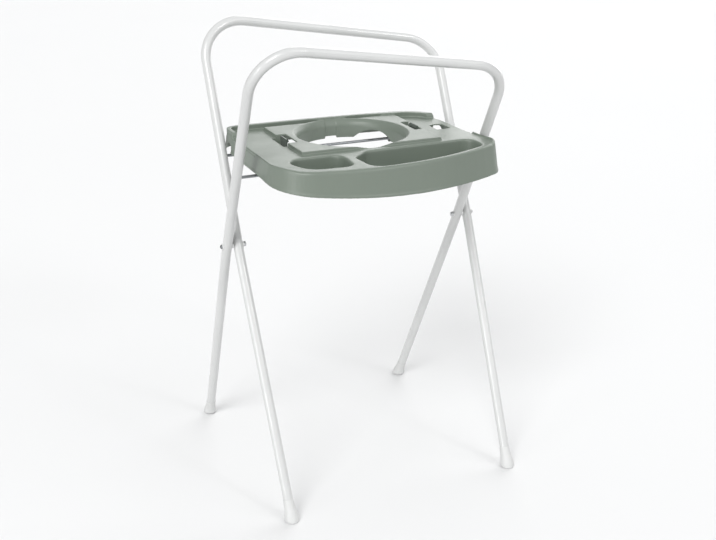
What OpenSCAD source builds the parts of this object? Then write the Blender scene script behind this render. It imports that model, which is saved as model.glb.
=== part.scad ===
// Folding stand for a baby bath: two bent tube frames cross like scissors, and a
// moulded tray lies on the cross rods between them. Millimetres, +Z up, the floor at z = 0.
// -Y is the front, where the tray's compartments are.

/* [Frames] */
// Height of the scissor pivot above the floor
pivot_h = 525.7; // [480:1:570]
// Lean of each frame from upright, in degrees
lean = 26; // [24:0.5:28]
// Distance between the two legs of a frame above the pivot, centre to centre
leg_span = 547; // [530:1:570]
// How far each leg comes in between the toe bend and the floor
toe_in = 13.5; // [6:0.5:20]
// Drop from the pivot to the slight inward bend of the legs
toe_drop = 25; // [18:1:60]
// Outer diameter of the frame tube
tube_d = 20.4; // [19:0.1:22]
// Wall of the frame tube
tube_wall = 1.4; // [1:0.1:2]
// Distance along the leg from the pivot to the left corner of the top bar
left_rise = 491; // [470:1:520]
// Distance along the leg from the pivot to the right corner of the top bar
right_rise = 405; // [390:1:440]
// Centre-line radius of the top bar's bends
bend_r = 85; // [60:1:100]
// Centre-line radius of the slight bend below the pivot
toe_bend_r = 400; // [200:10:600]
// Gap between the two frames' tubes where they cross
frame_gap = 3.3; // [2.6:0.1:5]

/* [Pivot bolts] */
// Diameter of the bolt's shank
bolt_d = 6; // [5:0.5:8]
// Diameter of the domed bolt head
head_d = 9; // [8:0.5:13]
// Height of the domed bolt head
head_h = 3.6; // [3:0.1:5]
// Width across the flats of the cap nut
nut_flats = 10; // [8:0.5:12]
// Height of the cap nut
nut_h = 5.4; // [5:0.1:9]
// Diameter of the washers and of the spacer between the tubes
washer_d = 12; // [11:0.5:18]
// Thickness of a saddle washer over the crown of its tube
washer_t = 1.4; // [1:0.1:2]
// Depth to which a saddle grips the sides of its tube
saddle_grip = 2.2; // [1.5:0.1:3]

/* [Cross rods] */
// Diameter of the cross rods
rod_d = 6.2; // [5:0.1:8]
// Height of the cross rods above the floor
rod_h = 695.7; // [680:1:712]

/* [Feet] */
// Height of the foot cap along the leg
foot_h = 52; // [44:1:64]
// Wall of the foot cap round the tube
foot_wall = 1.6; // [1.2:0.1:2.4]
// Diameter of the sole
sole_d = 30; // [27:0.5:34]
// Radius of the rounded edge of the sole
sole_edge_r = 5; // [3:0.5:7]
// Distance along the leg from the floor to the tube's end inside the foot
foot_floor = 14; // [11:0.5:20]

/* [Tray] */
// Height of the tray's deck above the cross rods
deck_lift = 39.3; // [37:0.1:44]
// Space between the tray's side and the nearest leg
side_gap = 7.9; // [5.9:0.1:9]
// Reach of the tray's rear edge behind the pivot plane
rear_reach = 135.5; // [130:0.5:145]
// Reach of the tray's front edge before the pivot plane
front_reach = 252; // [248:1:262]
// Radius of the bowed front edge
front_r = 580; // [520:10:700]
// Sideways place of the foremost point of the bowed front edge
front_x = -45; // [-60:1:0]
// Radius of the slightly bowed rear edge
rear_r = 1800; // [1500:50:2400]
// Sideways place of the rearmost point of the bowed rear edge
rear_x = -60; // [-80:1:0]
// Extra width of the right front corner, in front of the leg
corner_bulge = 8; // [0:0.5:9]
// Radius of the left front corner
corner_fl_r = 90; // [70:1:100]
// Radius of the right front corner
corner_fr_r = 44; // [36:1:60]
// Radius of the left rear corner
corner_rl_r = 27; // [20:1:40]
// Radius of the right rear corner
corner_rr_r = 96.5; // [60:0.5:105]
// Thickness of the deck
deck_t = 3; // [2.4:0.1:4]
// Thickness of the skirt
skirt_t = 2.6; // [2:0.1:3.4]
// Depth of the skirt at the sides and the rear
side_depth = 34; // [30:1:37]
// Depth of the skirt at the front
front_depth = 61; // [56:1:66]
// Outward slope of the skirt, as run over drop
draft = 0.14; // [0.08:0.01:0.18]
// Radius of the soft edge along the front and the rear of the deck
rim_r = 7; // [5:0.5:9]
// Height of the raised rims at the two sides, in front of the legs
rim_rise = 4.5; // [2:0.5:8]

/* [Bath platform] */
// Width of the raised platform
plat_w = 310; // [300:1:316]
// Depth of the raised platform, front to rear
plat_d = 226; // [218:1:232]
// Sideways place of the platform's centre
plat_x = -5; // [-8:0.5:0]
// Front-to-rear place of the platform's centre
plat_y = -3; // [-6:0.5:2]
// Rise of the platform above the deck
plat_rise = 7; // [5:0.5:9]

/* [Round opening] */
// Sideways place of the opening's centre
ring_x = -4; // [-6:0.5:0]
// Radius of the opening's wall
ring_r = 112; // [100:1:116]
// Depth of the opening's wall below the deck
ring_depth = 33; // [28:1:34]
// Width of the rounded mouth round the opening
ring_flare = 11.5; // [8:0.5:13]
// Height of the arched cut in the wall
arch_h = 19; // [14:1:24]
// Width of the arched cut in the wall
arch_w = 93; // [70:1:100]
// Direction of the arched cut, in degrees from the right
arch_dir = 39; // [30:1:50]

/* [Compartments] */
// Depth of the long compartment
trough_depth = 50; // [42:1:54]
// Depth of the cup compartment
cup_depth = 40; // [34:1:44]
// Wall of the compartments
pocket_t = 2.4; // [2:0.1:3]
// Radius of the soft edge round a compartment
pocket_rim_r = 3.5; // [2:0.5:5]

/* [Rear lip] */
// Height of the lip above the deck
lip_h = 11; // [7:0.5:13]
// Width of the lip
lip_w = 9; // [7:0.5:11]

/* [Bath catches] */
// Distance of each catch in from the side of the platform
catch_inset = 5; // [3:0.5:9]
// Width of a catch, front to rear
catch_w = 34; // [26:1:40]
// Thickness of a catch
catch_t = 3; // [2.4:0.1:3.6]
// Diameter of the bead on which a catch tilts
bead_d = 5; // [4:0.5:6]
// Width of the slot round a catch
slot_w = 30; // [28:1:34]
// Length of the slot round a catch
slot_l = 72; // [64:1:78]

/* [Fits] */
// Radial clearance of the cross rods in the tubes and in the tray's lugs
rod_fit = 0.05; // [0.02:0.01:0.1]
// Radial clearance of the pivot bolts in the tubes and washers
bolt_fit = 0.05; // [0.02:0.01:0.1]
// Running gap between pieces that turn against each other
run_gap = 0.3; // [0.2:0.05:0.5]
// Radial clearance of the foot caps on the tubes
cap_fit = 0.05; // [0.02:0.01:0.1]

/* [Hidden] */
$fn = 48;
eps = 0.01;

paint = [0.86, 0.87, 0.86];
steel = [0.62, 0.64, 0.66];
sage = [0.60, 0.66, 0.60];
dark_sage = [0.28, 0.32, 0.28];
white_plastic = [0.92, 0.92, 0.91];

left = -1;
right = 1;
tube_r = tube_d / 2;
bore_r = tube_r - tube_wall;
leg_x = leg_span / 2;
foot_x = leg_x - toe_in;
frame_shift = (tube_d + frame_gap) / 2;
leg_down = pivot_h / cos(lean);
rod_run = (rod_h - pivot_h) / cos(lean);
rod_y = rod_run * sin(lean);
rod_r = rod_d / 2;
bolt_r = bolt_d / 2;

// ---- Bent tube -------------------------------------------------------------

// A tube's path is a list of corners [x, z, bend radius] in its own plane. The ends have
// radius 0. Straights stop short of each corner by the bend's setback.
function heading(a, b) = atan2(b.x - a.x, b.y - a.y);
function heading_at(path, i) = heading(path[i], path[i + 1]);
function turn_at(path, i) = (heading_at(path, i) - heading_at(path, i - 1) + 540) % 360 - 180;
function setback(path, i) =
    i == 0 || i == len(path) - 1 ? 0 : path[i][2] * tan(abs(turn_at(path, i)) / 2);
function span(a, b) = norm([b.x - a.x, b.y - a.y]);

// A bend's wall is a trace thicker than a straight's, and each straight laps into its bends
bend_swell = 0.04;
lap = 0.1;

module tube_section(swell = 0) {
    difference() {
        circle(r = tube_r + swell);
        circle(r = bore_r - swell);
    }
}

module at_corner(path, i, from) {
    translate([path[i].x, 0, path[i].y])
        rotate([0, heading_at(path, from), 0])
            children();
}

module bend(radius, angle) {
    translate([radius, 0, 0])
        rotate([0, 0, 180])
            rotate([90, 0, 0])
                rotate_extrude(angle = angle)
                    translate([radius, 0])
                        tube_section(bend_swell);
}

module bent_tube(path) {
    last = len(path) - 1;
    for (i = [0 : last - 1]) {
        from = i == 0 ? 0 : setback(path, i) - lap;
        to = span(path[i], path[i + 1]) - (i == last - 1 ? 0 : setback(path, i + 1) - lap);
        at_corner(path, i, i)
            translate([0, 0, from])
                linear_extrude(height = to - from)
                    tube_section();
    }
    for (i = [1 : last - 1])
        at_corner(path, i, i - 1)
            translate([0, 0, -setback(path, i)])
                bend(path[i][2], turn_at(path, i));
}

// ---- Frames ----------------------------------------------------------------

// side is -1 for the frame whose top bar is at the front and +1 for the other one
front = -1;
rear = 1;

module in_frame(side) {
    translate([side * frame_shift, 0, pivot_h])
        rotate([-side * lean, 0, 0])
            children();
}

// The tube starts inside the left foot, and its end lies on the line from foot to toe bend
function toe_at(down) = foot_x + (leg_x - foot_x) * (leg_down - down) / (leg_down - toe_drop);
tube_down = leg_down - foot_floor;
frame_path = [
    [-toe_at(tube_down), -tube_down, 0],
    [-leg_x, -toe_drop, toe_bend_r],
    [-leg_x, left_rise, bend_r],
    [leg_x, right_rise, bend_r],
    [leg_x, -toe_drop, toe_bend_r],
    [toe_at(tube_down), -tube_down, 0]
];

module x_cylinder(r, length) {
    rotate([0, 90, 0])
        cylinder(r = r, h = length, center = true);
}

module frame_tube(side) {
    in_frame(side)
        difference() {
            bent_tube(frame_path);
            for (s = [left, right])
                translate([s * leg_x, 0, 0])
                    x_cylinder(bolt_r + bolt_fit, tube_d + 2);
            translate([0, 0, rod_run])
                x_cylinder(rod_r + rod_fit, leg_span);
        }
}

module front_bar_tube() {
    color(paint)
        frame_tube(front);
}

module rear_bar_tube() {
    color(paint)
        frame_tube(rear);
}

// ---- Cross rods ------------------------------------------------------------

// Each rod passes the inner walls of its two legs and is trapped between the outer walls
rod_length = leg_span + 2 * bore_r - 2 * run_gap;
rod_chamfer = 0.8;

module cross_rod(side) {
    translate([side * frame_shift, side * rod_y, rod_h])
        rotate([0, 90, 0])
            rotate_extrude()
                polygon([
                    [0, -rod_length / 2],
                    [rod_r - rod_chamfer, -rod_length / 2],
                    [rod_r, -rod_length / 2 + rod_chamfer],
                    [rod_r, rod_length / 2 - rod_chamfer],
                    [rod_r - rod_chamfer, rod_length / 2],
                    [0, rod_length / 2]
                ]);
}

module front_rod() {
    color(steel)
        cross_rod(front);
}

module rear_rod() {
    color(steel)
        cross_rod(rear);
}

// ---- Feet ------------------------------------------------------------------

cap_r = tube_r + foot_wall;
neck_h = 34;
collar_h = 6;
toe_angle = atan((leg_x - foot_x) / (leg_down - toe_drop));

// side picks the frame and s the leg; inside, z runs up along the leg from the floor
module along_leg(side, s) {
    in_frame(side)
        translate([s * foot_x, 0, -leg_down])
            rotate([0, s * toe_angle, 0])
                children();
}

module sole(side, s) {
    translate([side * frame_shift + s * foot_x, -side * leg_down * sin(lean), 0])
        rotate_extrude($fn = 32)
            union() {
                square([sole_d / 2 - sole_edge_r, 2 * sole_edge_r]);
                translate([sole_d / 2 - sole_edge_r, sole_edge_r])
                    circle(r = sole_edge_r, $fn = 20);
            }
}

module foot(side, s) {
    difference() {
        union() {
            along_leg(side, s)
                translate([0, 0, neck_h - 3])
                    cylinder(r = cap_r, h = foot_h - neck_h + 3);
            hull() {
                along_leg(side, s)
                    translate([0, 0, neck_h - collar_h])
                        cylinder(r = cap_r + 0.8, h = collar_h, $fn = 32);
                sole(side, s);
            }
        }
        along_leg(side, s)
            translate([0, 0, foot_floor])
                cylinder(r = tube_r + cap_fit, h = foot_h);
    }
}

module foot_front_left() {
    color(white_plastic)
        foot(rear, left);
}

module foot_front_right() {
    color(white_plastic)
        foot(rear, right);
}

module foot_rear_left() {
    color(white_plastic)
        foot(front, left);
}

module foot_rear_right() {
    color(white_plastic)
        foot(front, right);
}

// ---- Pivot hardware --------------------------------------------------------

// Seen from the middle of the stand outwards, each pivot has a cap nut, the inner leg,
// a spacer, the outer leg and the bolt's head. Each leg has a saddle washer outside it.
inner_x = leg_x - frame_shift;
outer_x = leg_x + frame_shift;
washer_out = tube_r + washer_t;
head_seat = outer_x + washer_out + run_gap / 2;
nut_seat = inner_x - washer_out - run_gap / 2;
bolt_tip = nut_seat - nut_h + 1.6;

module at_pivot(s) {
    translate([0, 0, pivot_h])
        mirror([s == left ? 1 : 0, 0, 0])
            children();
}

module turned_x(x, points) {
    translate([x, 0, 0])
        rotate([0, 90, 0])
            rotate_extrude()
                polygon(points);
}

module pivot_bolt(s) {
    dome = [for (a = [0 : 15 : 90]) [head_d / 2 * cos(a), 1 + (head_h - 1) * sin(a)]];
    at_pivot(s)
        difference() {
            union() {
                turned_x(head_seat, concat([[0, 0], [head_d / 2, 0]], dome));
                translate([bolt_tip, 0, 0])
                    rotate([0, 90, 0])
                        cylinder(r = bolt_r, h = head_seat - bolt_tip + 0.5);
            }
            translate([head_seat + head_h - 2, 0, 0])
                rotate([0, 90, 0])
                    cylinder(d = 4.6, h = 3, $fn = 6);
        }
}

module pivot_bolt_left() {
    color(steel)
        pivot_bolt(left);
}

module pivot_bolt_right() {
    color(steel)
        pivot_bolt(right);
}

module pivot_nut(s) {
    hex_h = 4;
    at_pivot(s)
        difference() {
            union() {
                translate([nut_seat - hex_h, 0, 0])
                    rotate([0, 90, 0])
                        cylinder(d = nut_flats / cos(30), h = hex_h, $fn = 6);
                turned_x(nut_seat - hex_h, [
                    [0, 0.5],
                    [nut_flats / 2 - 0.4, 0.5],
                    [nut_flats / 2 - 0.4, 0],
                    [nut_flats / 2 - 1.1, -(nut_h - hex_h) * 0.7],
                    [nut_flats / 2 - 2.6, -(nut_h - hex_h)],
                    [0, -(nut_h - hex_h)]
                ]);
            }
            translate([bolt_tip - 0.3, 0, 0])
                rotate([0, 90, 0])
                    cylinder(r = bolt_r + bolt_fit, h = nut_h);
        }
}

module pivot_nut_left() {
    color(steel)
        pivot_nut(left);
}

module pivot_nut_right() {
    color(steel)
        pivot_nut(right);
}

// A round pad that grips one side of a leg: x runs from the leg's axis outwards
module saddle(side, leg, out, flat_x) {
    translate([leg, 0, 0])
        difference() {
            translate([out > 0 ? tube_r - saddle_grip : flat_x, 0, 0])
                rotate([0, 90, 0])
                    cylinder(d = washer_d, h = abs(flat_x) - tube_r + saddle_grip);
            rotate([-side * lean, 0, 0])
                cylinder(r = tube_r + cap_fit, h = 3 * washer_d, center = true);
            rotate([0, 90, 0])
                cylinder(r = bolt_r + bolt_fit, h = 4 * tube_d, center = true);
        }
}

// On the left the front bar's leg is the outer one; on the right it is the inner one
module front_saddle_washer(s) {
    at_pivot(s)
        if (s == left)
            saddle(front, outer_x, 1, washer_out);
        else
            saddle(front, inner_x, -1, -washer_out);
}

module rear_saddle_washer(s) {
    at_pivot(s)
        if (s == left)
            saddle(rear, inner_x, -1, -washer_out);
        else
            saddle(rear, outer_x, 1, washer_out);
}

module front_saddle_washer_left() {
    color(white_plastic)
        front_saddle_washer(left);
}

module front_saddle_washer_right() {
    color(white_plastic)
        front_saddle_washer(right);
}

module rear_saddle_washer_left() {
    color(white_plastic)
        rear_saddle_washer(left);
}

module rear_saddle_washer_right() {
    color(white_plastic)
        rear_saddle_washer(right);
}

// The spacer sits on the front bar's leg and stops a running gap short of the other leg
module pivot_spacer(s) {
    flat = tube_r + frame_gap - run_gap;
    at_pivot(s)
        if (s == left)
            saddle(front, outer_x, -1, -flat);
        else
            saddle(front, inner_x, 1, flat);
}

module pivot_spacer_left() {
    color(white_plastic)
        pivot_spacer(left);
}

module pivot_spacer_right() {
    color(white_plastic)
        pivot_spacer(right);
}

// ---- Outlines --------------------------------------------------------------

// A taut belt round circles [x, y, r], counter-clockwise, grown by o. Each circle gives
// an arc of arc_steps, and each straight between two circles has line_steps.
function wrap_up(a, low) = a < low ? wrap_up(a + 360, low) : a >= low + 360 ? wrap_up(a - 360, low) : a;
function clamp1(v) = max(-1, min(1, v));
function leave_angle(a, b) =
    atan2(b.y - a.y, b.x - a.x) - acos(clamp1((a[2] - b[2]) / norm([b.x - a.x, b.y - a.y])));
function arc_point(c, o, a) = [c.x + (c[2] + o) * cos(a), c.y + (c[2] + o) * sin(a)];
function apart(a, b) =
    (b.x - a.x) * (b.x - a.x) + (b.y - a.y) * (b.y - a.y) - (a[2] - b[2]) * (a[2] - b[2]) > 0.04;
function belt(circles, o, arc_steps, line_steps = 1) =
    let (n = len(circles))
    [for (i = [0 : n - 1])
        let (
            before = circles[(i + n - 1) % n],
            c = circles[i],
            next = circles[(i + 1) % n],
            a0 = leave_angle(before, c),
            a1 = wrap_up(leave_angle(c, next), a0),
            from = arc_point(c, o, a1),
            to = arc_point(next, o, a1)
        )
        each concat(
            [for (k = [apart(before, c) ? 0 : 1 : arc_steps]) arc_point(c, o, a0 + (a1 - a0) * k / arc_steps)],
            line_steps < 2 || !apart(c, next) ? [] :
                [for (k = [1 : line_steps - 1]) from + (to - from) * k / line_steps]
        )
    ];

function raise(points, z) = [for (p = points) [p.x, p.y, z]];

// A closed solid through rings of equally many points, with a cap on the first and last.
// The caps fan out from a point inside an arc, so that no triangle is flat.
module skin(rings) {
    n = len(rings[0]);
    m = len(rings);
    top = (m - 1) * n;
    apex = 3;
    polyhedron(
        points = [for (ring = rings) each ring],
        faces = concat(
            [for (i = [1 : n - 2]) [apex, (apex + i) % n, (apex + i + 1) % n]],
            [for (k = [0 : m - 2], i = [0 : n - 1]) [k * n + i, (k + 1) * n + i, (k + 1) * n + (i + 1) % n]],
            [for (k = [0 : m - 2], i = [0 : n - 1]) [k * n + i, (k + 1) * n + (i + 1) % n, k * n + (i + 1) % n]],
            [for (i = [1 : n - 2]) [top + apex, top + (apex + i + 1) % n, top + (apex + i) % n]]
        ),
        convexity = 8
    );
}

// The same as a closed loop of rings, with an open middle
module hoop(rings) {
    n = len(rings[0]);
    m = len(rings);
    polyhedron(
        points = [for (ring = rings) each ring],
        faces = concat(
            [for (k = [0 : m - 1], i = [0 : n - 1])
                [k * n + i, (k + 1) % m * n + i, (k + 1) % m * n + (i + 1) % n]],
            [for (k = [0 : m - 1], i = [0 : n - 1])
                [k * n + i, (k + 1) % m * n + (i + 1) % n, k * n + (i + 1) % n]]
        ),
        convexity = 8
    );
}

// ---- Tray ------------------------------------------------------------------

// The tray is drawn with its deck's upper face at z = 0
deck_z = rod_h + deck_lift;
tray_x = leg_x - frame_shift - tube_r - side_gap;
front_c = [front_x, front_r - front_reach, front_r];
rear_c = [rear_x, rear_reach - rear_r, rear_r];
rod_drop = -deck_lift;

// A circle of radius r at x that touches the bowed front, drawn in by inset, from inside
function at_front(x, r, inset = 0) =
    let (away = front_r - inset - r)
    [x, front_c.y - sqrt(away * away - (x - front_x) * (x - front_x)), r];

// The same for the bowed rear
function at_rear(x, r) =
    let (away = rear_r - r)
    [x, rear_c.y + sqrt(away * away - (x - rear_x) * (x - rear_x)), r];

tray_circles = [
    at_rear(tray_x - corner_rr_r, corner_rr_r),
    rear_c,
    [-tray_x + corner_rl_r, rear_reach - corner_rl_r, corner_rl_r],
    at_front(-tray_x + corner_fl_r, corner_fl_r),
    front_c,
    at_front(tray_x - corner_fr_r, corner_fr_r)
];

function smooth(t) = let (u = max(0, min(1, t))) u * u * (3 - 2 * u);

// The right side is a little drawn in beside the legs and stands out again in front of them
side_taper = 4;
function bulge(p) =
    p.x < 0 ? 0
    : corner_bulge * smooth((-p.y - 114) / 40)
        - side_taper * smooth((p.y + 110) / 75) * smooth((75 - p.y) / 60);
tray_arc = 14;
tray_belt = belt(tray_circles, 0, tray_arc, 5);
tray_edge = [for (p = tray_belt) [p.x + bulge(p), p.y]];
tray_normal = tray_belt - belt(tray_circles, -1, tray_arc, 5);
tray_points = [0 : len(tray_edge) - 1];
function edge_point(i, out) = tray_edge[i] + out * tray_normal[i];
function tray_outline(out) = [for (i = tray_points) edge_point(i, out)];

// The skirt is deepest along the front, and gets shallower sooner on the left side
function skirt_depth(p) =
    side_depth + (front_depth - side_depth) * smooth((p.x - p.y + 200) / 520) * smooth((-p.y - 95) / 90);

bead_h = 5;
bead_out = 0.8;
corner_draft = 0.035;
function slope_out(p) = draft + corner_draft * smooth((p.x - 60) / 140);
function hem_ring(up, out) =
    [for (i = tray_points)
        let (
            depth = skirt_depth(tray_edge[i]) - up,
            p = edge_point(i, slope_out(tray_edge[i]) * (depth - rim_r) + out)
        )
        [p.x, p.y, -depth]
    ];

// The sides have a raised rim with a small edge radius, which fades out round the corners.
// Its inner slope is steep beside the legs and gets wide at the corners.
side_rim_r = 3;
function sideness(i) =
    tray_normal[i].y > 0.01 ? 0 : smooth((abs(tray_normal[i].x) - 0.55) / 0.42);
function rise_at(i) = rim_rise * sideness(i);
function edge_r(i) = rim_r + (side_rim_r - rim_r) * sideness(i);
function slope_w(i) = 2 + 12 * smooth((1 - abs(tray_normal[i].x)) / 0.2);
function rim_ring(a) =
    [for (i = tray_points)
        let (p = edge_point(i, -edge_r(i) * (1 - cos(a))))
        [p.x, p.y, rise_at(i) - edge_r(i) * (1 - sin(a))]
    ];
function slope_ring(part, height) =
    [for (i = tray_points)
        let (p = edge_point(i, -edge_r(i) - part * slope_w(i)))
        [p.x, p.y, height * rise_at(i)]
    ];
function slope_end(i, on) = edge_point(i, -edge_r(i) - slope_w(i) + on);

module tray_shell() {
    hoop(concat(
        [
            raise(tray_outline(-skirt_t - 0.6), -deck_t),
            raise(tray_outline(-skirt_t), -rim_r),
            hem_ring(0, -skirt_t),
            hem_ring(0, bead_out),
            hem_ring(bead_h - 1, bead_out),
            hem_ring(bead_h, 0)
        ],
        [for (a = [0 : 22.5 : 90]) rim_ring(a)],
        [
            slope_ring(0.35, 0.72),
            slope_ring(0.7, 0.22),
            slope_ring(1, 0),
            raise([for (i = tray_points) slope_end(i, 0)], -deck_t)
        ]
    ));
    translate([0, 0, -deck_t])
        linear_extrude(height = deck_t)
            polygon([for (i = tray_points) slope_end(i, 2)]);
}

module platform() {
    translate([plat_x - plat_w / 2, plat_y - plat_d / 2, -1])
        cube([plat_w, plat_d, plat_rise + 1]);
}

module platform_hollow() {
    translate([plat_x - plat_w / 2 + deck_t, plat_y - plat_d / 2 + deck_t, -deck_t - 1])
        cube([plat_w - 2 * deck_t, plat_d - 2 * deck_t, plat_rise + 1]);
}

// The lip stands on the rear edge and runs round the right rear corner, where it is wider
lip_inset = 1.5;
lip_end = 68;
function lip_inside() =
    [for (i = tray_points)
        edge_point(i, -lip_inset - lip_w - 4.5 * smooth((tray_edge[i].x - 60) / 90))
    ];

module rear_lip() {
    difference() {
        translate([0, 0, -1])
            linear_extrude(height = lip_h + 1)
                polygon(tray_outline(-lip_inset));
        translate([0, 0, -2])
            linear_extrude(height = lip_h + 4)
                polygon(lip_inside());
        translate([-tray_x - 50, -front_reach - 50, -2])
            cube([2 * tray_x + 100, front_reach + 47 + lip_end, lip_h + 4]);
        translate([0, lip_end, 0])
            rotate([-33, 0, 0])
                translate([-tray_x - 50, -20, -10])
                    cube([2 * tray_x + 100, 20, lip_h + 30]);
    }
}

ring_t = 3;
ring_bottom = -ring_depth;
ring_fn = 96;

// The wall widens under the rounded mouth. At the front it ends flush with the platform,
// and at the rear it goes on into the lip.
module ring_wall() {
    translate([ring_x, 0, ring_bottom])
        cylinder(r = ring_r + ring_t, h = ring_depth + plat_rise - 1, $fn = ring_fn);
    intersection() {
        translate([ring_x, 0, -6])
            cylinder(
                r1 = ring_r + ring_t,
                r2 = ring_r + ring_flare + 3.5,
                h = plat_rise + 6,
                $fn = ring_fn
            );
        translate([plat_x - plat_w / 2 + 1, plat_y - plat_d / 2 + 1, -10])
            cube([plat_w - 2, plat_d + 16, 30]);
    }
}

// The opening's room, with its wall and its rounded mouth set back by out
module opening_shape(out) {
    r = ring_r + out;
    rotate_extrude($fn = ring_fn)
        polygon([
            [0, ring_bottom - 1],
            [r, ring_bottom - 1],
            [r, plat_rise - 15],
            [r + 0.1 * ring_flare, plat_rise - 11],
            [r + 0.3 * ring_flare, plat_rise - 6.4],
            [r + 0.57 * ring_flare, plat_rise - 3],
            [r + 0.83 * ring_flare, plat_rise - 0.7],
            [r + ring_flare, plat_rise],
            [r + ring_flare, plat_rise + 2],
            [0, plat_rise + 2]
        ]);
}

groove_t = 1.4;
groove_w = 27;
groove_notch = 4;
module ring_opening() {
    arch_r = (arch_w * arch_w / 4 + arch_h * arch_h) / (2 * arch_h);
    translate([ring_x, 0, 0]) {
        opening_shape(0);
        // the arched cut
        rotate([0, 0, arch_dir])
            translate([ring_r * 0.6, 0, ring_bottom + arch_h - arch_r])
                rotate([0, 90, 0])
                    cylinder(r = arch_r, h = ring_r * 0.5, $fn = 96);
        // the shallow upright groove in the rear of the wall, and the notch under it
        intersection() {
            opening_shape(groove_t);
            translate([0.5 - groove_w / 2, ring_r / 2, ring_bottom - 2])
                cube([groove_w, ring_r, ring_depth + plat_rise + 6]);
        }
        translate([0.5 - groove_w / 2, ring_r - 8, ring_bottom - 1])
            cube([groove_w, 14, groove_notch + 1]);
    }
}

trough_inset = 11;
// Both start a little in front of the platform and end a little inside the tray's sides.
plat_front = plat_y - plat_d / 2;
trough_end = tray_x - 53.55;
trough_circles = [
    [trough_end, plat_front - 32, 24],
    [-20, plat_front - 40, 26],
    [-44, plat_front - 57, 23],
    at_front(-38, 26, trough_inset),
    [front_c.x, front_c.y, front_r - trough_inset],
    at_front(trough_end - 2, 26, trough_inset)
];
cup_end = 71.55 - tray_x;
cup_circles = [
    [-114, plat_front - 44, 27],
    [cup_end, plat_front - 44, 27],
    [cup_end + 22, plat_front - 56, 44],
    [-112, plat_front - 81, 22]
];
pocket_draft = 0.06;
pocket_arc = 10;

function pocket_rings(circles, depth, out) = concat(
    [for (k = [0 : 2])
        raise(
            belt(circles, out - pocket_draft * depth - 5 * (1 - sin(45 * k)), pocket_arc),
            -depth + 5 * (1 - cos(45 * k))
        )
    ],
    [raise(belt(circles, out - pocket_draft * pocket_rim_r, pocket_arc), -pocket_rim_r)]
);

module pocket_cut(circles, depth) {
    rim = [for (a = [30 : 30 : 90])
        raise(belt(circles, pocket_rim_r * (1 - cos(a)), pocket_arc), -pocket_rim_r * (1 - sin(a)))
    ];
    skin(concat(
        pocket_rings(circles, depth, 0),
        rim,
        [raise(belt(circles, pocket_rim_r, pocket_arc), 1)]
    ));
}

module pocket_body(circles, depth) {
    skin(concat(
        pocket_rings(circles, depth + pocket_t, pocket_t),
        [raise(belt(circles, pocket_t, pocket_arc), -1)]
    ));
}

// Lugs that carry the front rod: the tray turns on it. The inner ones reach up to the
// underside of the platform, the outer ones to the underside of the deck.
lug_t = 9;
lug_r = 7.5;
lug_inset = 34.5;
inner_lug = plat_w / 2 - 22;
lug_xs = [lug_inset - tray_x, -inner_lug - 3, inner_lug - 3, tray_x - lug_inset];
deck_under = -deck_t + 1;
plat_under = plat_rise - deck_t + 1;

module lug_plate(x, y, half_w) {
    top = abs(x) > plat_w / 2 + 10 ? deck_under : plat_under;
    translate([x, 0, 0])
        rotate([90, 0, 90])
            linear_extrude(height = lug_t, center = true)
                union() {
                    polygon([
                        [y - half_w - 5, top],
                        [y - half_w, rod_drop],
                        [y + half_w, rod_drop],
                        [y + half_w + 5, top]
                    ]);
                    translate([y, rod_drop])
                        circle(r = half_w);
                }
}

module front_lugs() {
    for (x = lug_xs)
        lug_plate(x, -rod_y, lug_r);
}

// Hooks that drop over the rear rod: open downwards and to the front. As the frames close
// the tray turns tilt_ratio times as far, and the hooks' slots follow the rod's way out.
hook_gap = 0.4;
tilt_ratio = 2.25;
hook_lean = atan(cos(lean) / (sin(lean) * (2 * tilt_ratio - 1)));
module rear_hooks() {
    for (x = lug_xs)
        lug_plate(x, rod_y + 2, lug_r + 1);
}

module rear_hook_slots() {
    slot_r = rod_r + hook_gap;
    for (x = lug_xs)
        translate([x, rod_y, rod_drop])
            rotate([-hook_lean, 0, 0]) {
                x_cylinder(slot_r, lug_t + 4);
                translate([0, -10, -15])
                    cube([lug_t + 4, 20 + 2 * slot_r, 30], center = true);
            }
}

// The ribs' ends stop inside the skirt, round the corners too
module stiffening_ribs() {
    rib_t = 2.4;
    rib_h = 18;
    rib_x = catch_x + slot_w - slot_inner + 14;
    intersection() {
        union() {
            for (x = [-rib_x, rib_x])
                translate([x - rib_t / 2, -100, -rib_h])
                    cube([rib_t, rear_reach + 92, rib_h - deck_t + 0.5]);
            for (y = [plat_front - 6, plat_front + plat_d + 6])
                translate([-tray_x + 3, y - rib_t / 2, -rib_h])
                    cube([2 * tray_x - 6, rib_t, rib_h - deck_t + 0.5]);
        }
        translate([0, 0, -rib_h - 1])
            linear_extrude(height = rib_h + 2)
                polygon(tray_outline(-skirt_t / 2));
    }
}

// The rear rod enters through a notch in each side of the skirt. The right one reaches
// further to the front.
notch_reach = 36;
module side_notches() {
    for (s = [left, right])
        translate([s * (tray_x + 8), 0, rod_drop])
            rotate([90, 0, 90])
                linear_extrude(height = 40, center = true)
                    polygon(concat(
                        s < 0 ? [
                            [rod_y - rod_r - 5, -12],
                            [rod_y - rod_r - 5, 20]
                        ] : [
                            [rod_y - notch_reach, -12],
                            [rod_y - notch_reach, 17],
                            [rod_y - notch_reach + 3, 22],
                            [rod_y - notch_reach + 9, 25.5],
                            [rod_y - notch_reach + 17, 27]
                        ],
                        [
                            [rod_y + 4, 27],
                            [rod_y + 12, 24],
                            [rod_y + 38, -2],
                            [rod_y + 42, -12]
                        ]
                    ));
}

// ---- Bath catches ----------------------------------------------------------

bead_r = bead_d / 2;
bead_z = -19;
catch_x = plat_w / 2 - catch_inset;
cradle_w = 15;
cradle_t = 10;
catch_top = plat_rise + 2.5;
slot_inner = 16;

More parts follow.
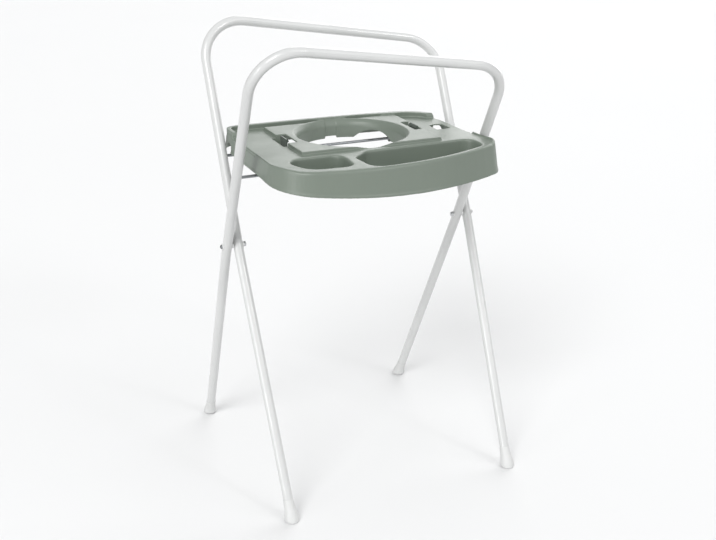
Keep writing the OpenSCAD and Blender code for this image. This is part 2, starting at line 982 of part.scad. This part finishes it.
module at_catch(s) {
    translate([plat_x, 0, 0])
        mirror([s == left ? 1 : 0, 0, 0])
            translate([catch_x, 0, 0])
                children();
}

module catch_slot(s) {
    at_catch(s)
        translate([-slot_inner, -slot_l / 2, -deck_t - 6])
            cube([slot_w, slot_l, plat_rise + deck_t + 8]);
}

module catch_cradle(s) {
    at_catch(s)
        difference() {
            union() {
                translate([-cradle_w / 2, -slot_l / 2 - 3, bead_z - cradle_t / 2])
                    cube([cradle_w, slot_l + 6, cradle_t]);
                for (y = [-slot_l / 2 - 3, slot_l / 2]) {
                    translate([-cradle_w / 2, y, bead_z - cradle_t / 2])
                        cube([cradle_w, 3, -bead_z + cradle_t / 2 + deck_under]);
                    translate([-cradle_w / 2, y, deck_under - 1])
                        cube([cradle_w / 2, 3, plat_under - deck_under + 1]);
                }
            }
            translate([0, 0, bead_z])
                rotate([90, 0, 0])
                    cylinder(r = bead_r + rod_fit, h = catch_w + 2 * run_gap, center = true);
            translate([-catch_t / 2 - 0.3, -catch_w / 2 - run_gap, bead_z])
                cube([catch_t + 2.5, catch_w + 2 * run_gap, cradle_t]);
        }
}

module bath_catch(s) {
    translate([0, 0, deck_z])
        at_catch(s) {
            translate([0, 0, bead_z])
                rotate([90, 0, 0])
                    cylinder(r = bead_r, h = catch_w, center = true);
            rotate([90, 0, 0])
                linear_extrude(height = catch_w, center = true)
                    polygon([
                        [-catch_t / 2, bead_z],
                        [catch_t / 2, bead_z],
                        [catch_t / 2, catch_top],
                        [-catch_t / 2, catch_top],
                        [-catch_t / 2 - 3, catch_top - 4],
                        [-catch_t / 2 - 3, catch_top - 6],
                        [-catch_t / 2, catch_top - 7.5]
                    ]);
        }
}

module bath_catch_left() {
    color(dark_sage)
        bath_catch(left);
}

module bath_catch_right() {
    color(dark_sage)
        bath_catch(right);
}

// The hole at the right of the platform has a straight front edge and an arched rear. It
// lies between the platform and the tray's side, a little nearer to the side.
side_hole_x = (plat_x + plat_w / 2 + tray_x) / 2 + 6.2;
module side_hole() {
    translate([side_hole_x, -10, -deck_t - 4])
        intersection() {
            cylinder(r = 25, h = deck_t + 8);
            translate([-16, -19, 0])
                cube([32, 60, deck_t + 8]);
        }
}

// Beside the legs there is no rim, and the outermost edge of the deck is set a little lower
ledge_w = 5;
ledge_h = 2;
ledge_from_left = -78;
ledge_from_right = -88;
ledge_to = 71;
function ledge_from(s) = s > 0 ? ledge_from_right : ledge_from_left;
module ledge_box(s, w, from, to) {
    translate([s > 0 ? tray_x - w : -tray_x - 20, ledge_from(s), from])
        cube([w + 20, ledge_to - ledge_from(s), to - from]);
}

module side_ledges() {
    for (s = [left, right]) {
        ledge_box(s, ledge_w + (s > 0 ? side_taper : 0), -ledge_h, 15);
        ledge_box(s, 30, 0, 15);
    }
}

module ledge_floors() {
    for (s = [left, right])
        translate([
            s > 0 ? tray_x - ledge_w - side_taper - 4 : -tray_x + 1.5,
            ledge_from(s) + 3,
            -ledge_h - 3
        ])
            cube([ledge_w + (s > 0 ? 1.5 : 2.5), ledge_to - ledge_from(s) - 8, 2.6]);
}

module tray() {
    color(sage)
        translate([0, 0, deck_z])
            difference() {
                union() {
                    difference() {
                        union() {
                            tray_shell();
                            platform();
                        }
                        platform_hollow();
                    }
                    rear_lip();
                    ring_wall();
                    pocket_body(trough_circles, trough_depth);
                    pocket_body(cup_circles, cup_depth);
                    front_lugs();
                    rear_hooks();
                    stiffening_ribs();
                    ledge_floors();
                    catch_cradle(left);
                    catch_cradle(right);
                }
                ring_opening();
                pocket_cut(trough_circles, trough_depth);
                pocket_cut(cup_circles, cup_depth);
                catch_slot(left);
                catch_slot(right);
                side_hole();
                side_ledges();
                side_notches();
                rear_hook_slots();
                for (x = lug_xs)
                    translate([x, -rod_y, rod_drop])
                        x_cylinder(rod_r + rod_fit, lug_t + 4);
            }
}

front_bar_tube();
rear_bar_tube();
front_rod();
rear_rod();
foot_front_left();
foot_front_right();
foot_rear_left();
foot_rear_right();
pivot_bolt_left();
pivot_bolt_right();
pivot_nut_left();
pivot_nut_right();
pivot_spacer_left();
pivot_spacer_right();
front_saddle_washer_left();
front_saddle_washer_right();
rear_saddle_washer_left();
rear_saddle_washer_right();
tray();
bath_catch_left();
bath_catch_right();
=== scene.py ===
import math

import bmesh
import bpy
from mathutils import Matrix, Vector
from mathutils.kdtree import KDTree


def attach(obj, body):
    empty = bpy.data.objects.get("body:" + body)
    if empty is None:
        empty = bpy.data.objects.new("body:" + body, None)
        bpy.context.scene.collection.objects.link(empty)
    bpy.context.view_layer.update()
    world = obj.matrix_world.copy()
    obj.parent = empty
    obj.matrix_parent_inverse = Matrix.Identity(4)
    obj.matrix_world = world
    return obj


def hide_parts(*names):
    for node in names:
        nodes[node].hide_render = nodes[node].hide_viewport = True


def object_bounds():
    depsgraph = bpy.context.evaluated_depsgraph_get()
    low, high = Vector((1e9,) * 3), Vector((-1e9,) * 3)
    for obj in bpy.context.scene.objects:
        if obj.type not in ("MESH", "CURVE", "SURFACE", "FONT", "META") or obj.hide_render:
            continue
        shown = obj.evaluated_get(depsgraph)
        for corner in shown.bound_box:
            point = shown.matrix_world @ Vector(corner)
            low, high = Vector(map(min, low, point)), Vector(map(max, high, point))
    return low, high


# A folding stand for a baby bath: the CAD bodies with their materials, the tray with moulded
# edges, soft foot caps, and a camera and studio light. Lengths are in metres.

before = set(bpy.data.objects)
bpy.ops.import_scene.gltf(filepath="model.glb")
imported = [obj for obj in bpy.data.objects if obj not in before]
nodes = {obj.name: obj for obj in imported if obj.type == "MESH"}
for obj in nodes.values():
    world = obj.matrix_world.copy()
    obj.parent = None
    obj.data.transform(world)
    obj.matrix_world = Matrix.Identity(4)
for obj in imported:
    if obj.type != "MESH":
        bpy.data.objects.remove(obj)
cad_box = [list(c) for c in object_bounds()]


def add(name, data):
    """A new object in the scene."""
    made = bpy.data.objects.new(name, data)
    bpy.context.scene.collection.objects.link(made)
    return made


def direction(azimuth, elevation):
    """The unit vector at azimuth, from +Y towards +X, and elevation. Both are in radians."""
    return Vector((
        math.sin(azimuth) * math.cos(elevation),
        math.cos(azimuth) * math.cos(elevation),
        math.sin(elevation),
    ))


# ---- Camera: where the photograph was taken from ---------------------------

IMAGE_WIDTH = 716
FOCAL_PX = 1035.09
CAMERA_AT = Vector((-0.86937, -1.95659, 1.27168))
AZIMUTH = math.radians(24.29)
DOWN = math.radians(21.52)
ROLL = math.radians(0.29)
SENSOR_MM = 36.0
VIEW_END = 60.0

ahead = direction(AZIMUTH, -DOWN)
across = ahead.cross(Vector((0, 0, 1))).normalized()
upward = across.cross(ahead)
right_axis = across * math.cos(ROLL) + upward * math.sin(ROLL)
up_axis = upward * math.cos(ROLL) - across * math.sin(ROLL)

cam_data = bpy.data.cameras.new("camera")
cam_data.sensor_fit = "HORIZONTAL"
cam_data.sensor_width = SENSOR_MM
cam_data.lens = FOCAL_PX * SENSOR_MM / IMAGE_WIDTH
cam_data.clip_end = VIEW_END
camera = add("camera", cam_data)
turn = Matrix((right_axis, up_axis, -ahead)).transposed()
camera.matrix_world = Matrix.Translation(CAMERA_AT) @ turn.to_4x4()
bpy.context.scene.camera = camera

# ---- Materials -------------------------------------------------------------


def toned(colour, factor):
    return tuple(min(1.0, c * factor) for c in colour)


class Shader:
    """A Principled material built up node by node."""

    def __init__(self, name):
        self.material = bpy.data.materials.new(name)
        self.material.use_nodes = True
        self.tree = self.material.node_tree
        self.bsdf = self.tree.nodes["Principled BSDF"]
        self.place = self.tree.nodes.new("ShaderNodeTexCoord").outputs["Object"]

    def node(self, kind, **values):
        """A node with these inputs or settings."""
        made = self.tree.nodes.new(kind)
        for key, value in values.items():
            if key in made.inputs:
                made.inputs[key].default_value = value
            else:
                setattr(made, key, value)
        return made

    def link(self, source, target):
        self.tree.links.new(source, target)

    def noise(self, scale, detail, rough=0.5, stretch=None):
        made = self.node("ShaderNodeTexNoise", Scale=scale, Detail=detail, Roughness=rough)
        if stretch is None:
            self.link(self.place, made.inputs["Vector"])
        else:
            mapping = self.node("ShaderNodeMapping")
            mapping.inputs["Scale"].default_value = stretch
            self.link(self.place, mapping.inputs["Vector"])
            self.link(mapping.outputs["Vector"], made.inputs["Vector"])
        return made.outputs["Fac"]

    def spread(self, value, low, high, to_low=0.0, to_high=1.0):
        """value, with low to high drawn out to to_low to to_high."""
        made = self.node("ShaderNodeMapRange")
        self.link(value, made.inputs["Value"])
        ends = {"From Min": low, "From Max": high, "To Min": to_low, "To Max": to_high}
        for key, number in ends.items():
            made.inputs[key].default_value = number
        return made.outputs["Result"]

    def mix(self, value, first, second):
        """The colour that goes from first to second as value goes from 0 to 1."""
        made = self.node("ShaderNodeMix", data_type="RGBA")
        # The node has sockets for numbers, vectors and colours, and these are the colours'
        factor, first_in, second_in = made.inputs[0], made.inputs[6], made.inputs[7]
        mixed = made.outputs[2]
        self.link(value, factor)
        for socket, colour in ((first_in, first), (second_in, second)):
            if isinstance(colour, tuple):
                socket.default_value = (*colour, 1.0)
            else:
                self.link(colour, socket)
        return mixed

    def bump(self, height, strength, distance, under=None):
        """A bump of this height, on top of the bump under it."""
        made = self.node("ShaderNodeBump", Strength=strength, Distance=distance)
        self.link(height, made.inputs["Height"])
        if under is not None:
            self.link(under, made.inputs["Normal"])
        return made.outputs["Normal"]

    def raised_edges(self, low, high):
        """1 on the raised edges of the mesh and 0 elsewhere."""
        geometry = self.node("ShaderNodeNewGeometry")
        return self.spread(geometry.outputs["Pointiness"], low, high)

    def finish(self, colour, roughness, normal, **sockets):
        self.link(colour, self.bsdf.inputs["Base Color"])
        self.link(roughness, self.bsdf.inputs["Roughness"])
        self.link(normal, self.bsdf.inputs["Normal"])
        for key, value in sockets.items():
            self.bsdf.inputs[key.replace("_", " ")].default_value = value
        return self.material


def powder_coat(name, colour, shade):
    """Glossy powder coat on steel tube: soft orange peel and faint mottling."""
    s = Shader(name)
    mottled = s.mix(s.spread(s.noise(scale=9, detail=4), 0.3, 0.7), colour, shade)
    specks = s.spread(s.noise(scale=420, detail=2), 0.70, 0.76, to_high=0.25)
    tint = s.mix(specks, mottled, toned(colour, 0.8))
    rough = s.spread(s.noise(scale=60, detail=4), 0.2, 0.8, to_low=0.34, to_high=0.46)
    peel = s.bump(s.noise(scale=420, detail=2), strength=0.10, distance=0.0003)
    soft = s.bump(s.noise(scale=70, detail=2), strength=0.05, distance=0.0006, under=peel)
    return s.finish(tint, rough, soft, Coat_Weight=0.8, Coat_Roughness=0.10, IOR=1.5)


def moulded(name, colour, shade, rough, grain):
    """Injection-moulded plastic: fine sparked grain, cloudy colour, scuffs and worn edges."""
    s = Shader(name)
    cloud = s.spread(s.noise(scale=7, detail=5, rough=0.6), 0.3, 0.7)
    cloudy = s.mix(cloud, colour, shade)
    flecks = s.spread(s.noise(scale=1600, detail=1), 0.62, 0.75, to_high=0.35)
    flecked = s.mix(flecks, cloudy, toned(colour, 1.12))
    streaks = s.noise(scale=38, detail=6, rough=0.75, stretch=(1.0, 6.0, 1.0))
    scuffed = s.mix(s.spread(streaks, 0.66, 0.78, to_high=0.18), flecked, toned(colour, 1.3))
    worn = s.mix(s.raised_edges(0.53, 0.62), scuffed, toned(colour, 1.18))
    low, high = rough
    roughness = s.spread(s.noise(scale=25, detail=4), 0.2, 0.8, to_low=low, to_high=high)
    fine = s.bump(s.noise(scale=grain, detail=3), strength=0.35, distance=0.00012)
    wavy = s.bump(s.noise(scale=14, detail=2), strength=0.10, distance=0.0012, under=fine)
    return s.finish(worn, roughness, wavy)


def brushed(name, colour, shade, stretch):
    """Plated or drawn steel with fine marks. stretch is how fine they are in each direction."""
    s = Shader(name)
    lines = s.noise(scale=30, detail=4, rough=0.6, stretch=stretch)
    base = s.mix(s.spread(lines, 0.3, 0.7), colour, shade)
    stains = s.spread(s.noise(scale=45, detail=5, rough=0.7), 0.58, 0.75, to_high=0.5)
    stained = s.mix(stains, base, toned(shade, 0.6))
    roughness = s.spread(s.noise(scale=70, detail=4), 0.2, 0.8, to_low=0.24, to_high=0.42)
    ridges = s.bump(lines, strength=0.15, distance=0.0002)
    return s.finish(stained, roughness, ridges, Metallic=1.0)


def matt_floor(name, colour, shade):
    """A pale floor with hardly any sheen, faintly uneven."""
    s = Shader(name)
    tint = s.mix(s.noise(scale=0.6, detail=2), colour, shade)
    rough = s.spread(s.noise(scale=2, detail=2), 0, 1, to_low=0.75, to_high=0.85)
    uneven = s.bump(s.noise(scale=3, detail=2), strength=0.02, distance=0.001)
    return s.finish(tint, rough, uneven, Specular_IOR_Level=0.15)


ALONG_ROD = (1.0, 40.0, 40.0)
EVENLY = (8.0, 8.0, 8.0)

tube_paint = powder_coat("tube_powder_coat", (0.58, 0.585, 0.58), (0.55, 0.556, 0.552))
tray_plastic = moulded(
    "tray_moulded_plastic", (0.163, 0.192, 0.160), (0.154, 0.183, 0.152), (0.34, 0.44), 900)
foot_plastic = moulded(
    "foot_moulded_plastic", (0.60, 0.605, 0.60), (0.57, 0.575, 0.57), (0.42, 0.54), 1200)
washer_plastic = moulded(
    "washer_moulded_plastic", (0.58, 0.585, 0.58), (0.55, 0.555, 0.55), (0.4, 0.5), 1500)
catch_plastic = moulded(
    "catch_moulded_plastic", (0.060, 0.074, 0.062), (0.050, 0.062, 0.052), (0.4, 0.5), 1500)
rod_steel = brushed("rod_drawn_steel", (0.30, 0.31, 0.32), (0.22, 0.23, 0.24), ALONG_ROD)
# Painted shade: the bolts are the same plated steel as the nuts, darkened to the shaded look of
# the bolt heads on the -X side.
bolt_steel_painted_shade = brushed("bolt_plated_steel_painted_shade", (0.26, 0.27, 0.28), (0.20, 0.21, 0.22), EVENLY)
nut_steel = brushed("nut_plated_steel", (0.62, 0.63, 0.64), (0.52, 0.53, 0.54), EVENLY)
floor_paint = matt_floor("floor_pale", (0.755, 0.757, 0.758), (0.74, 0.742, 0.744))

# ---- Making pieces ---------------------------------------------------------


def paint(mesh, material):
    mesh.materials.clear()
    mesh.materials.append(material)


def piece(name, mesh, material, body, slot, *stands_for):
    made = add(name, mesh)
    paint(mesh, material)
    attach(made, body)
    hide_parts(*stands_for)


def shade_smooth(mesh):
    for polygon in mesh.polygons:
        polygon.use_smooth = True


def as_shown(carrier):
    """The mesh of an object after its modifiers. The object is removed."""
    graph = bpy.context.evaluated_depsgraph_get()
    out = bpy.data.meshes.new_from_object(carrier.evaluated_get(graph))
    bpy.data.objects.remove(carrier)
    return out


def welded(mesh):
    """A copy of a CAD mesh with its doubled corners joined, so that it is one closed surface."""
    work = bmesh.new()
    work.from_mesh(mesh)
    bmesh.ops.remove_doubles(work, verts=work.verts, dist=1e-6)
    out = bpy.data.meshes.new(mesh.name + "_welded")
    work.to_mesh(out)
    work.free()
    return out


def edge_places(mesh, sharp, spacing):
    """A search tree of places along the edges of a closed mesh that turn by more than sharp."""
    work = bmesh.new()
    work.from_mesh(mesh)
    places = []
    for edge in work.edges:
        if len(edge.link_faces) == 2 and edge.calc_face_angle() > sharp:
            start, end = (v.co for v in edge.verts)
            steps = max(1, math.ceil((end - start).length / spacing))
            places.extend(start.lerp(end, k / steps) for k in range(steps + 1))
    work.free()
    tree = KDTree(len(places))
    for k, place in enumerate(places):
        tree.insert(place, k)
    tree.balance()
    return tree


def refined(mesh, voxel):
    """A closed solid remade in small even faces. Vertices that come close to one of its sharp
    edges are put onto it."""
    carrier = add("carrier", mesh)
    remesh = carrier.modifiers.new("refine", "REMESH")
    remesh.mode = "VOXEL"
    remesh.voxel_size = voxel
    remesh.adaptivity = 0.0
    fine = as_shown(carrier)
    edges = edge_places(mesh, sharp=math.radians(38), spacing=voxel / 4)
    reach = 0.85 * voxel
    for vertex in fine.vertices:
        place, _, away = edges.find(vertex.co)
        if away < reach:
            vertex.co = place
    return fine


def eased(mesh, inside, rounds):
    """The mesh with rounded edges where inside(place) picks its vertices."""
    carrier = add("carrier", mesh)
    group = carrier.vertex_groups.new(name="eased")
    group.add([v.index for v in mesh.vertices if inside(v.co)], 1.0, "REPLACE")
    smooth = carrier.modifiers.new("ease", "SMOOTH")
    smooth.factor = 0.5
    smooth.iterations = rounds
    smooth.vertex_group = group.name
    return as_shown(carrier)


# ---- Tray ------------------------------------------------------------------

# The CAD solid with the small radii that a mould leaves on every edge. They are larger round
# the compartments, and the hem of the skirt keeps the sharpest edge.
COMPARTMENTS_END_Y = -0.075
COMPARTMENTS_LOW_Z = 0.722
HEM_TOP_Z = 0.7045
INSIDE_SKIRT_X = 0.2225
INSIDE_SKIRT_FRONT_Y = -0.135
INSIDE_SKIRT_REAR_Y = 0.127
TRAY_VOXEL = 0.0013
COMPARTMENT_ROUNDS = 16


def anywhere(place):
    return True


def off_hem(place):
    inside_skirt = (
        abs(place.x) < INSIDE_SKIRT_X and INSIDE_SKIRT_FRONT_Y < place.y < INSIDE_SKIRT_REAR_Y
    )
    return place.z > HEM_TOP_Z or inside_skirt


def at_compartments(place):
    return place.y < COMPARTMENTS_END_Y and place.z > COMPARTMENTS_LOW_Z


tray_mesh = refined(welded(nodes["tray"].data), TRAY_VOXEL)
for inside, rounds in ((anywhere, 2), (off_hem, 2), (at_compartments, COMPARTMENT_ROUNDS)):
    tray_mesh = eased(tray_mesh, inside, rounds)
shade_smooth(tray_mesh)
piece("tray_moulding", tray_mesh, tray_plastic, "tray", "tray_plastic", "tray")

# ---- Feet ------------------------------------------------------------------

# Each foot is a soft cap on the end of a leg and flares out to a round sole. The legs lean by
# LEAN, stand LEG_DOWN below the pivots and bend inwards by TOE_IN over their length.
LEAN = math.radians(26)
PIVOT_H = 0.5257
LEG_DOWN = PIVOT_H / math.cos(LEAN)
TOE_IN = 0.0135
TOE_DROP = 0.025
FOOT_X = 0.260
FRAME_SHIFT = 0.01185
BORE_R = 0.01025
SOLE_BEND = 0.020
FOOT_SIDES = 72

# (height up the leg, radius), from the middle of the sole round the outside into the bore
FOOT_RINGS = (
    (0.0000, 0.0000), (0.0000, 0.0040), (0.0000, 0.0080), (0.0000, 0.0101),
    (0.0003, 0.0119), (0.0010, 0.0133), (0.0021, 0.0143), (0.0036, 0.01485),
    (0.0055, 0.0150), (0.0082, 0.0149), (0.0115, 0.0145), (0.0150, 0.0139),
    (0.0190, 0.0131), (0.0230, 0.01238), (0.0270, 0.01182), (0.0310, 0.01146),
    (0.0350, 0.01126), (0.0390, 0.01113), (0.0420, 0.01106), (0.0438, 0.01098),
    (0.0446, 0.01085), (0.0449, 0.01062), (0.0449, 0.01040), (0.0447, BORE_R),
    (0.0400, BORE_R), (0.0250, BORE_R), (0.0120, BORE_R), (0.0120, 0.0060),
    (0.0120, 0.0000),
)


def foot_mesh(name, side, leg):
    """side is -1 for a leg of the front-bar frame and +1 for the other frame, and leg is -1
    for the left leg and +1 for the right one."""
    sole = Vector((side * FRAME_SHIFT + leg * FOOT_X, -side * LEG_DOWN * math.sin(LEAN), 0.0))
    inward = leg * TOE_IN / (LEG_DOWN - TOE_DROP)
    up_leg = Vector((inward, side * math.sin(LEAN), math.cos(LEAN))).normalized()
    work = bmesh.new()
    rings = []
    for height, radius in FOOT_RINGS:
        middle = sole + up_leg * height
        if radius == 0.0:
            rings.append([work.verts.new(middle)])
            continue
        # The sole lies flat on the floor, and further up the rings lie across the leg
        part = min(1.0, height / SOLE_BEND)
        normal = Vector((0, 0, 1)).lerp(up_leg, part * part * (3 - 2 * part)).normalized()
        u = (Vector((1, 0, 0)) - normal * normal.x).normalized()
        v = normal.cross(u)
        angles = (2 * math.pi * k / FOOT_SIDES for k in range(FOOT_SIDES))
        rings.append([
            work.verts.new(middle + (u * math.cos(a) + v * math.sin(a)) * radius)
            for a in angles
        ])
    for low, high in zip(rings, rings[1:]):
        for k in range(FOOT_SIDES):
            after = (k + 1) % FOOT_SIDES
            if len(low) == 1:
                work.faces.new((low[0], high[after], high[k]))
            elif len(high) == 1:
                work.faces.new((low[k], low[after], high[0]))
            else:
                work.faces.new((low[k], low[after], high[after], high[k]))
    bmesh.ops.recalc_face_normals(work, faces=work.faces)
    mesh = bpy.data.meshes.new(name)
    work.to_mesh(mesh)
    work.free()
    shade_smooth(mesh)
    return mesh


for place_name, body, side in (("front", "rear_bar_frame", 1), ("rear", "front_bar_frame", -1)):
    for leg_name, leg in (("left", -1), ("right", 1)):
        foot = "foot_%s_%s" % (place_name, leg_name)
        cap = foot + "_cap"
        piece(cap, foot_mesh(cap, side, leg), foot_plastic, body, "foot_plastic", foot)

# ---- Carried-over CAD nodes ------------------------------------------------

for material, names in (
    (tube_paint, ("front_bar_tube", "rear_bar_tube")),
    (rod_steel, ("front_rod", "rear_rod")),
    (bolt_steel_painted_shade, ("pivot_bolt_left", "pivot_bolt_right")),
    (nut_steel, ("pivot_nut_left", "pivot_nut_right")),
    (washer_plastic, ("pivot_spacer_left", "pivot_spacer_right")),
    (washer_plastic, ("front_saddle_washer_left", "front_saddle_washer_right")),
    (washer_plastic, ("rear_saddle_washer_left", "rear_saddle_washer_right")),
    (catch_plastic, ("bath_catch_left", "bath_catch_right")),
):
    for name in names:
        paint(nodes[name].data, material)

# ---- Floor -----------------------------------------------------------------

FLOOR_HALF = 30.0
FLOOR_GAP = 0.0002

floor_mesh = bpy.data.meshes.new("floor")
corners = [(x * FLOOR_HALF, y * FLOOR_HALF, 0) for x, y in ((-1, -1), (1, -1), (1, 1), (-1, 1))]
floor_mesh.from_pydata(corners, [], [(0, 1, 2, 3)])
floor = add("floor", floor_mesh)
floor.location.z = cad_box[0][2] - FLOOR_GAP
paint(floor_mesh, floor_paint)

# ---- Light -----------------------------------------------------------------


def sun(name, azimuth, elevation, strength, width):
    """A soft light from the direction azimuth, elevation. Both and its width are in degrees."""
    data = bpy.data.lights.new(name, "SUN")
    data.energy = strength
    data.angle = math.radians(width)
    made = add(name, data)
    towards = direction(math.radians(azimuth), math.radians(elevation))
    made.rotation_euler = towards.to_track_quat("Z", "Y").to_euler()


# The low backlight gives the deck its sheen, the corner light brings out the rounded front
# corner, and the streak light draws the narrow highlights on the tubes.
sun("backlight", azimuth=48, elevation=22, strength=1.84, width=60)
sun("overhead", azimuth=24, elevation=80, strength=0.15, width=50)
sun("front_left", azimuth=226, elevation=42, strength=1.75, width=30)
sun("corner", azimuth=246, elevation=8, strength=0.7, width=16)
sun("front_right", azimuth=142, elevation=40, strength=0.6, width=50)
sun("streak", azimuth=152, elevation=26, strength=0.3, width=8)

SURROUNDINGS_COLOUR = (0.985, 0.992, 1.0, 1.0)
SURROUNDINGS_STRENGTH = 0.46

world = bpy.data.worlds.new("studio")
world.use_nodes = True
background = world.node_tree.nodes["Background"]
background.inputs["Color"].default_value = SURROUNDINGS_COLOUR
background.inputs["Strength"].default_value = SURROUNDINGS_STRENGTH
bpy.context.scene.world = world
bpy.context.scene.view_settings.view_transform = "Standard"
